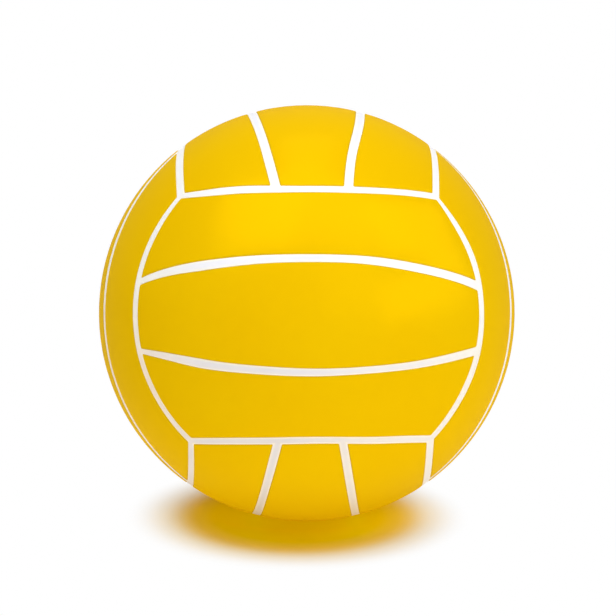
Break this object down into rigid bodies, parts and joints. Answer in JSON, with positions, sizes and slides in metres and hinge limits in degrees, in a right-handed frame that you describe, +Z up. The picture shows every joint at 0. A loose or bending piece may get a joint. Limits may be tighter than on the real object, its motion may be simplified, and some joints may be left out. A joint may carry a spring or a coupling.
{
  "type": "water polo ball",
  "caption": "Round rubber-covered ball of cube-pattern strip panels bedded between the raised white ribs of a carcass, over a wound bladder with a needle valve.",
  "frame": {"origin": "centre of the ball", "axes": "+Z up, -Y towards the viewer, +X to the viewer's right; the ball lies rolled back by 16 degrees about X, so its front face looks along -Y and up, and its valve looks along +Y and down"},
  "size_m": [0.22, 0.22, 0.22],
  "materials": {
    "panel_rubber": "satin",
    "carcass_rubber": "satin",
    "nylon_thread": "matte",
    "butyl_rubber": "satin",
    "valve_rubber": "satin",
    "plug_rubber": "matte"
  },
  "bodies": {
    "root": {"bladder": "butyl_rubber", "valve_housing": "valve_rubber", "valve_plug": "plug_rubber", "nylon_winding": "nylon_thread", "ribbed_carcass": "carcass_rubber", "panel_front_upper": "panel_rubber", "panel_front_middle": "panel_rubber", "panel_front_lower": "panel_rubber", "panel_back_upper": "panel_rubber", "panel_back_middle": "panel_rubber", "panel_back_lower": "panel_rubber", "panel_bottom_right": "panel_rubber", "panel_bottom_middle": "panel_rubber", "panel_bottom_left": "panel_rubber", "panel_top_right": "panel_rubber", "panel_top_middle": "panel_rubber", "panel_top_left": "panel_rubber", "panel_left_rear": "panel_rubber", "panel_left_middle": "panel_rubber", "panel_left_fore": "panel_rubber", "panel_right_rear": "panel_rubber", "panel_right_middle": "panel_rubber", "panel_right_fore": "panel_rubber"}
  },
  "joints": []
}
